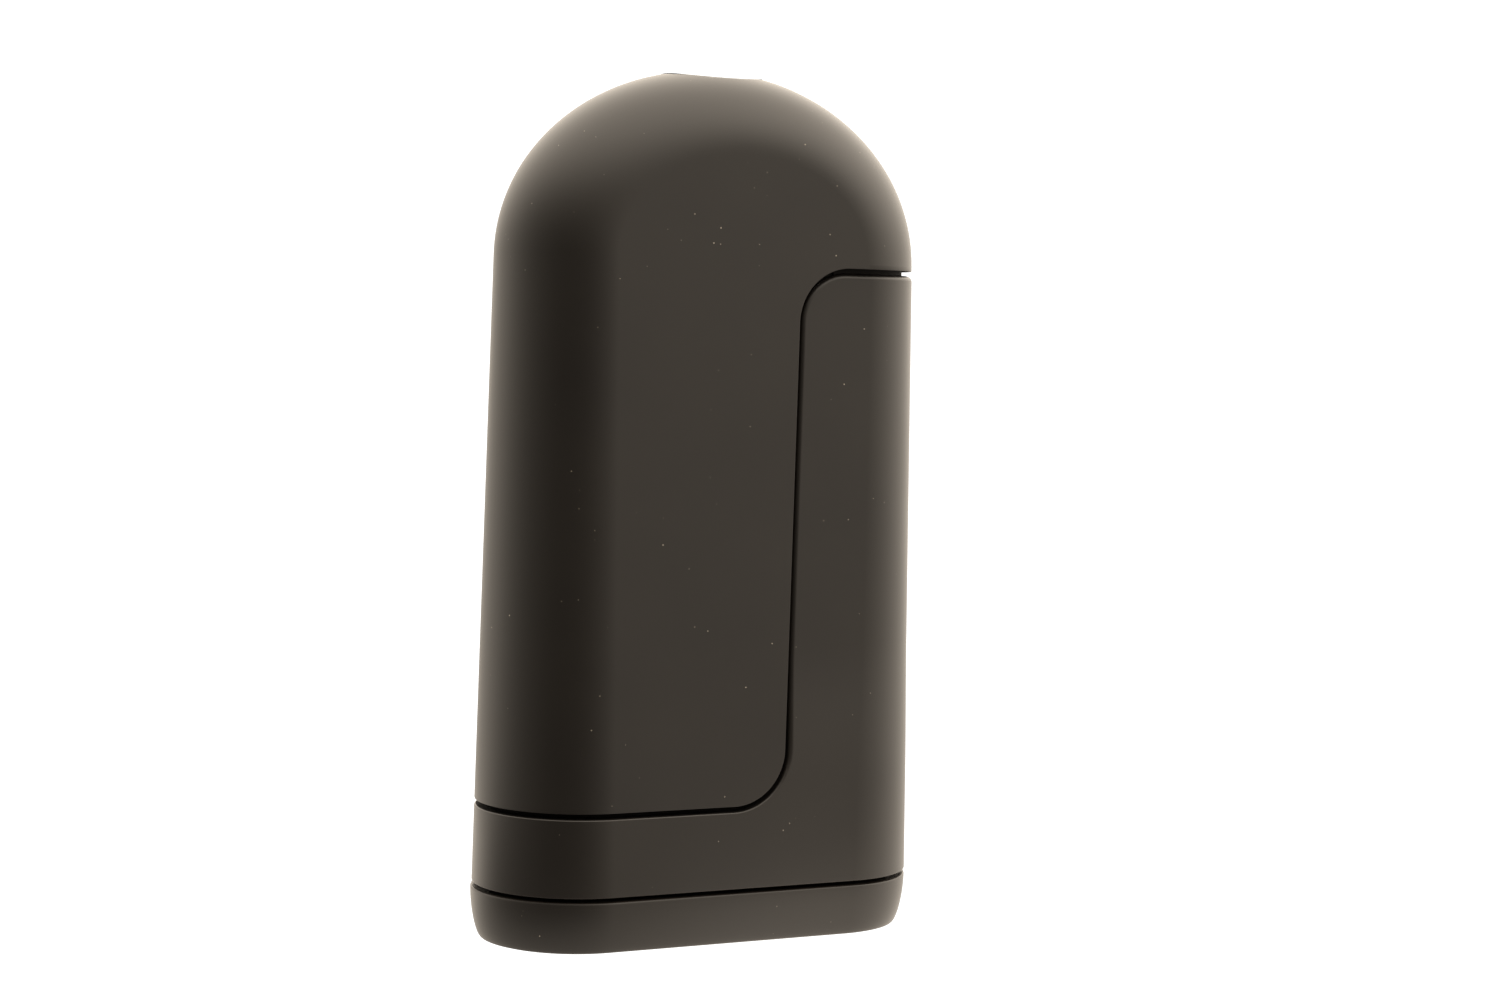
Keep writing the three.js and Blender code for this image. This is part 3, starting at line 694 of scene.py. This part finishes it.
# %% Scatter the dust
def dust_on(tree, place, mm, coat):
    """Dust in drifts, thickest on the shoulder: at most one speck in each half-millimetre cell."""
    math_of = lambda operation: {"operation": operation}
    cells = add(tree, "ShaderNodeTexVoronoi", Vector=mm, Scale=CELLS_PER_MM, Randomness=1.0).outputs
    pick = add(tree, "ShaderNodeSeparateColor", Color=cells["Color"]).outputs
    drift = add(tree, "ShaderNodeTexNoise", Vector=mm, Scale=0.16, Detail=1.0).outputs["Fac"]
    least, most = DRIFT_CUT
    bare = add(
        tree, "ShaderNodeMapRange", Value=drift, From_Min=0.4, From_Max=0.7,
        To_Min=least, To_Max=most,
    )
    heart = Vector(DUSTIEST) * MM
    far = add(tree, "ShaderNodeVectorMath", math_of("DISTANCE"), n0=place, n1=heart)
    near, out = (reach * MM for reach in DUST_HEAP)
    heap = add(
        tree, "ShaderNodeMapRange", SMOOTH, Value=far.outputs["Value"],
        From_Min=near, From_Max=out, To_Min=HEAP_CUT, To_Max=0.0,
    )
    limit = add(tree, "ShaderNodeMath", math_of("SUBTRACT"), n0=bare.outputs[0], n1=heap.outputs[0])
    chosen = add(
        tree, "ShaderNodeMath", math_of("GREATER_THAN"), n0=pick["Red"], n1=limit.outputs[0]
    )
    least, most = SPECK_RADIUS
    size = add(tree, "ShaderNodeMapRange", Value=pick["Green"], To_Min=least, To_Max=most)
    inside = add(
        tree, "ShaderNodeMath", math_of("LESS_THAN"), n0=cells["Distance"], n1=size.outputs[0]
    )
    speck = add(
        tree, "ShaderNodeMath", math_of("MULTIPLY"), n0=chosen.outputs[0], n1=inside.outputs[0]
    )
    rare = add(tree, "ShaderNodeMath", math_of("POWER"), n0=pick["Blue"], n1=2.5)
    least, most = SPECK_STRENGTH
    pale = add(tree, "ShaderNodeMapRange", Value=rare.outputs[0], To_Min=least, To_Max=most)
    shown = add(
        tree, "ShaderNodeMath", math_of("MULTIPLY"), n0=speck.outputs[0], n1=pale.outputs[0]
    )
    dusty = add(
        tree, "ShaderNodeMix", {"data_type": "RGBA"}, n0=shown.outputs[0], n6=coat, n7=paint(DUST)
    )
    return dusty.outputs[2]


# %% Mix the lacquer, and the bare plastic under it
def soft_touch(name, shift):
    made, tree, place, mm = start(name, shift)
    # Broad, faint unevenness of the spray coat, patches about 9 mm across.
    cloud = add(tree, "ShaderNodeTexNoise", Vector=mm, Scale=0.11, Detail=3.0, Roughness=0.5)
    tones = [(0.3, paint(LACQUER_DEEP)), (0.7, paint(LACQUER_LIGHT))]
    coat = add(tree, "ShaderNodeValToRGB", stops=tones, Fac=cloud.outputs["Fac"])
    low, high = LACQUER_ROUGH
    rough = add(tree, "ShaderNodeMapRange", Value=cloud.outputs["Fac"], To_Min=low, To_Max=high)
    # Bead grain, drawn at 0.12 mm because the real 0.05 mm would vanish.
    grain = add(tree, "ShaderNodeTexNoise", Vector=mm, Scale=8.0, Detail=2.0, Roughness=0.6)
    bump = add(tree, "ShaderNodeBump", Height=grain.outputs["Fac"], Strength=0.12, Distance=0.00002)
    shader = add(
        tree, "ShaderNodeBsdfPrincipled", Base_Color=dust_on(tree, place, mm, coat.outputs["Color"]),
        Roughness=rough.outputs["Result"], Normal=bump.outputs["Normal"], IOR=1.5,
    )
    add(tree, "ShaderNodeOutputMaterial", Surface=shader.outputs["BSDF"])
    return made


# The spray doesn't reach inside. There the moulding shows its own near-black, set a little darker
# than the lacquer as painted shade, which keeps the seams dark.
bare_plastic_painted_shade, tree, place, mm = start("bare black ABS")
cloud = add(tree, "ShaderNodeTexNoise", Vector=mm, Scale=2.0, Detail=2.0)
# These tones sit below the lacquer's: painted shade in the seams and on the walls behind them.
tones = [(0.3, paint("#100f0e")), (0.7, paint("#171514"))]
coat = add(tree, "ShaderNodeValToRGB", stops=tones, Fac=cloud.outputs["Fac"])
shader = add(
    tree, "ShaderNodeBsdfPrincipled", Base_Color=coat.outputs["Color"], Roughness=0.75,
    Specular_IOR_Level=0.15,
)
add(tree, "ShaderNodeOutputMaterial", Surface=shader.outputs["BSDF"])
for shell, shift in ((hood, 0.0), (trigger, 41.0), (base_cap, 87.0)):
    shell.data.materials.append(soft_touch("soft touch lacquer " + shell.name, shift))
    shell.data.materials.append(bare_plastic_painted_shade)
print("lacquered:", hood.name, trigger.name, base_cap.name)

# %% [markdown]
# ## The works inside
#
# Through the flame opening and the wells underneath one sees the working parts: turned brass, bright
# steel wire, a ceramic sleeve round the electrode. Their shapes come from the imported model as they
# are, and only get a finish. Brass is turned, so its fine marks run round the axis; steel is drawn or
# stamped, so it is plain and bright. The moulded parts are nylon, slightly cloudy where it is left
# uncoloured.


# %% Finishes for the working parts
def moulded(name, deep, light, rough, grain=0.35):
    """A moulded plastic with a fine eroded texture; grain is its width in millimetres."""
    made, tree, place, mm = start(name)
    cloud = add(tree, "ShaderNodeTexNoise", Vector=mm, Scale=0.3, Detail=2.0)
    tones = [(0.3, paint(deep)), (0.7, paint(light))]
    coat = add(tree, "ShaderNodeValToRGB", stops=tones, Fac=cloud.outputs["Fac"])
    skin = add(tree, "ShaderNodeTexNoise", Vector=mm, Scale=1 / grain, Detail=3.0, Roughness=0.6)
    bump = add(tree, "ShaderNodeBump", Height=skin.outputs["Fac"], Strength=0.15, Distance=0.00003)
    shader = add(
        tree, "ShaderNodeBsdfPrincipled", Base_Color=coat.outputs["Color"],
        Normal=bump.outputs["Normal"], Roughness=rough,
    )
    add(tree, "ShaderNodeOutputMaterial", Surface=shader.outputs["BSDF"])
    return made


def metal(name, deep, light, rough, marks=(0.08, 0.08, 0.08)):
    """A bare metal: marks is the width of its fine lines along x, y and z in millimetres."""
    made, tree, place, mm = start(name)
    per_line = tuple(1000 / width for width in marks)
    lines = add(tree, "ShaderNodeMapping", Vector=place, Scale=per_line).outputs["Vector"]
    scratch = add(tree, "ShaderNodeTexNoise", Vector=lines, Scale=1.0, Detail=2.0).outputs["Fac"]
    cloud = add(tree, "ShaderNodeTexNoise", Vector=mm, Scale=0.6, Detail=2.0)
    tones = [(0.3, paint(deep)), (0.7, paint(light))]
    tone = add(tree, "ShaderNodeValToRGB", stops=tones, Fac=cloud.outputs["Fac"])
    shine = add(tree, "ShaderNodeMapRange", Value=scratch, To_Min=rough - 0.08, To_Max=rough + 0.1)
    bump = add(tree, "ShaderNodeBump", Height=scratch, Strength=0.2, Distance=0.00001)
    shader = add(
        tree, "ShaderNodeBsdfPrincipled", Base_Color=tone.outputs["Color"], Metallic=1.0,
        Roughness=shine.outputs["Result"], Normal=bump.outputs["Normal"],
    )
    add(tree, "ShaderNodeOutputMaterial", Surface=shader.outputs["BSDF"])
    return made


# %% Mix them
# Free-cutting brass, turned: warm yellow, with hair-fine rings that blur its highlights.
turned_brass = metal("turned brass", "#a8843c", "#c9a55a", 0.28, marks=(4, 4, 0.06))
# Steel, drawn or stamped and nickel-bright: a clean, cool highlight.
bright_steel = metal("drawn bright steel", "#9c9ea0", "#bdbfc0", 0.24)
# Music wire: darker and a little greyer, from its drawing soap.
spring_steel = metal("spring steel wire", "#7f8184", "#a3a5a8", 0.30)
# Nylon with glass fibre: near-black and slightly rough, because the fibres reach the surface.
nylon = moulded("glass-filled nylon", "#151517", "#1f1f21", 0.55)
# Nylon left uncoloured: a cloudy off-white.
clear_nylon = moulded("uncoloured nylon", "#b9b7ab", "#cfcdc2", 0.35, grain=0.8)
# Acetal: dark, and smoother and waxier than nylon.
igniter_plastic = moulded("igniter polyacetal", "#1c1c1e", "#29292b", 0.38, grain=0.6)
# Nitrile rubber, pressed: dull black with a tight skin.
rubber = moulded("nitrile rubber", "#0f0f0f", "#191918", 0.75, grain=0.15)
# Silicone, extruded round the wire: a satin dark red.
insulation = moulded("silicone wire insulation", "#7e1a17", "#9c2420", 0.45, grain=0.5)
# Alumina, pressed and fired without a glaze: chalky white.
ceramic = moulded("unglazed alumina", "#d9d5ca", "#e9e6dd", 0.5, grain=0.12)
# Clear tubing, extruded: pale and glossy.
hose = moulded("clear gas tubing", "#b4b9b5", "#ced3cf", 0.22, grain=1.5)

FINISHES = {
    turned_brass: "fill_valve_body fill_valve_stem flame_adjuster adjuster_gland outlet_valve_body "
    "burner_body",
    bright_steel: "outlet_valve_stem gas_lever burner_nozzle flame_screen spark_electrode "
    "trigger_pin rocker_pin gas_lever_pin base_screw_left base_screw_right",
    spring_steel: "fill_valve_spring plunger_spring trigger_spring",
    nylon: "chassis rocker",
    clear_nylon: "fuel_tank tank_lid",
    igniter_plastic: "piezo_body piezo_plunger",
    rubber: "fill_valve_seal",
    insulation: "electrode_wire",
    ceramic: "electrode_insulator",
    hose: "gas_tube",
}
print("finishes for the works:", len(FINISHES))

# %% Give each working part its finish and broken edges
WELD, BROKEN_EDGE = 0.001 * MM, 0.06 * MM
for finish, names in FINISHES.items():
    for name in names.split():
        part = nodes[name]
        part.data.materials.clear()
        part.data.materials.append(finish)
        part.data.shade_smooth()
        weld = part.modifiers.new("weld", "WELD")
        weld.merge_threshold = WELD
        edge = part.modifiers.new("broken edges", "BEVEL")
        edge.limit_method, edge.angle_limit = "ANGLE", math.radians(40)
        edge.width, edge.segments, edge.harden_normals = BROKEN_EDGE, 2, True
print("finished:", sum(len(names.split()) for names in FINISHES.values()), "working parts")

# %% [markdown]
# ## A bright studio with a dim side
#
# The set behind the lighter is so bright that it shows as pure white, and it wraps warm light round
# the edges, while the face looks back into the dim side of the room, where the camera stands.
# Soft boxes could be set up one by one, but what a dark satin surface shows is simply how bright the
# room is in each direction. So the room is drawn as one soft band of brightness round the horizon,
# brighter overhead, with one weak soft box. What the camera itself sees behind the lighter is plain
# white.

# %% How bright the room is, by direction
# Degrees round from the front, positive to the right, and how bright the room is there.
ROOM = [
    (-180, 1.15), (-138, 1.5), (-120, 1.2), (-108, 0.86), (-96, 0.62), (-84, 0.40), (-66, 0.26),
    (-54, 0.13), (-12, 0.13), (0, 0.31), (14, 0.42), (26, 0.85), (54, 0.92), (66, 1.1), (84, 1.3),
    (108, 0.95), (138, 1.25), (180, 1.15),
]
BRIGHTEST, OVERHEAD, SOFT_BOX_LEVEL, SEEN_WHITE = 4.0, 3.4, 0.5, 1.4
LEAN, OVERHEAD_FROM = Vector((0.34, 0.20, 0.92)).normalized(), (-0.04, 0.82)
SOFT_BOX, SOFT_BOX_EDGE = Vector((0.78, -0.36, 0.51)).normalized(), (0.84, 0.99)
WARM = (1.0, 0.89, 0.755, 1.0)


def grey(level):
    """A brightness as a colour, as a share of the brightest that is needed."""
    return (level / BRIGHTEST, level / BRIGHTEST, level / BRIGHTEST, 1.0)


world = bpy.data.worlds.new("studio")
scene.world = world
world.use_nodes = True
tree = world.node_tree
tree.nodes.clear()
look = add(tree, "ShaderNodeTexCoord").outputs["Generated"]
way = add(tree, "ShaderNodeSeparateXYZ", Vector=look).outputs
front = add(tree, "ShaderNodeMath", {"operation": "MULTIPLY"}, n0=way["Y"], n1=-1.0)
compass = add(tree, "ShaderNodeMath", {"operation": "ARCTAN2"}, n0=way["X"], n1=front.outputs[0])
share = add(
    tree, "ShaderNodeMapRange", Value=compass.outputs[0], From_Min=-math.pi, From_Max=math.pi
)
levels = [((azimuth + 180) / 360, grey(level)) for azimuth, level in ROOM]
horizon = add(tree, "ShaderNodeValToRGB", stops=levels, Fac=share.outputs["Result"])
print("room brightness stops:", len(levels))

# %% Overhead light, the soft box, warmth, and what the camera sees
low, high = OVERHEAD_FROM
rise = add(tree, "ShaderNodeVectorMath", {"operation": "DOT_PRODUCT"}, n0=look, n1=LEAN)
height = add(
    tree, "ShaderNodeMapRange", SMOOTH, Value=rise.outputs["Value"], From_Min=low, From_Max=high
)
sky = add(
    tree, "ShaderNodeMix", {"data_type": "RGBA"},
    n0=height.outputs["Result"], n6=horizon.outputs["Color"], n7=grey(OVERHEAD),
)
low, high = SOFT_BOX_EDGE
facing = add(tree, "ShaderNodeVectorMath", {"operation": "DOT_PRODUCT"}, n0=look, n1=SOFT_BOX)
pool = add(
    tree, "ShaderNodeMapRange", SMOOTH, Value=facing.outputs["Value"], From_Min=low, From_Max=high
)
boxed = add(
    tree, "ShaderNodeMix", {"data_type": "RGBA", "blend_type": "ADD"},
    n0=pool.outputs["Result"], n6=sky.outputs[2], n7=grey(SOFT_BOX_LEVEL),
)
tint = add(
    tree, "ShaderNodeMix", {"data_type": "RGBA", "blend_type": "MULTIPLY"},
    n0=1.0, n6=boxed.outputs[2], n7=WARM,
)
room = add(tree, "ShaderNodeBackground", Color=tint.outputs[2], Strength=BRIGHTEST)
white = add(tree, "ShaderNodeBackground", Color=paint("#ffffff"), Strength=SEEN_WHITE)
seen = add(tree, "ShaderNodeLightPath").outputs["Is Camera Ray"]
both = add(tree, "ShaderNodeMixShader", n0=seen, n1=room.outputs[0], n2=white.outputs[0])
add(tree, "ShaderNodeOutputWorld", Surface=both.outputs[0])
scene.view_settings.view_transform = "Standard"
print("studio:", len(tree.nodes), "nodes")

# %% [markdown]
# ## The floor
#
# The lighter stands on a small sheet of white acrylic lit from below, as on a shooting table.
# Paper would do, but it keeps a grey shadow, and here the floor should be as white as the back wall.
# Its glow fades towards the front left, which is the dim side. Seen from below the sheet is left
# clear, so that the underside can be looked at.

# %% Lay the floor
FLOOR_RADIUS, FLOOR_BACK, FLOOR_BELOW = 55.0, 22.0, 0.02
FLOOR_GLOW, FLOOR_DIM, FADE = 1.8, 0.2, (1.0, 28.0)
DIM_SIDE = Vector((-0.72, -0.69, 0))
turns = [2 * math.pi * k / 128 for k in range(128)]
rim = [(FLOOR_RADIUS * math.cos(t), FLOOR_BACK + FLOOR_RADIUS * math.sin(t), 0) for t in turns]
table = shape_of("floor", rim, [tuple(range(len(rim)))])
lowered = Matrix.Translation((0, 0, LOW.z - FLOOR_BELOW * MM))
table.data.transform(lowered @ Matrix.Scale(MM, 4))
print("floor laid at z =", round(1000 * LOW.z, 2), "mm")

# %% Light it from below
acrylic, tree, place, mm = start("white acrylic lit from below")
ahead = add(tree, "ShaderNodeVectorMath", {"operation": "DOT_PRODUCT"}, n0=place, n1=DIM_SIDE)
fade = add(
    tree, "ShaderNodeMapRange", SMOOTH, Value=ahead.outputs["Value"],
    From_Min=FADE[0] * MM, From_Max=FADE[1] * MM, To_Min=FLOOR_GLOW, To_Max=FLOOR_DIM,
)
glow = add(tree, "ShaderNodeEmission", Color=WARM, Strength=fade.outputs["Result"])
plain = add(tree, "ShaderNodeEmission", Color=paint("#ffffff"), Strength=SEEN_WHITE)
seen = add(tree, "ShaderNodeLightPath").outputs["Is Camera Ray"]
top = add(tree, "ShaderNodeMixShader", n0=seen, n1=glow.outputs[0], n2=plain.outputs[0])
clear = add(tree, "ShaderNodeBsdfTransparent")
under = add(tree, "ShaderNodeNewGeometry").outputs["Backfacing"]
either = add(tree, "ShaderNodeMixShader", n0=under, n1=top.outputs[0], n2=clear.outputs[0])
add(tree, "ShaderNodeOutputMaterial", Surface=either.outputs[0])
table.data.materials.append(acrylic)
print("floor glow fades over", FADE, "mm")
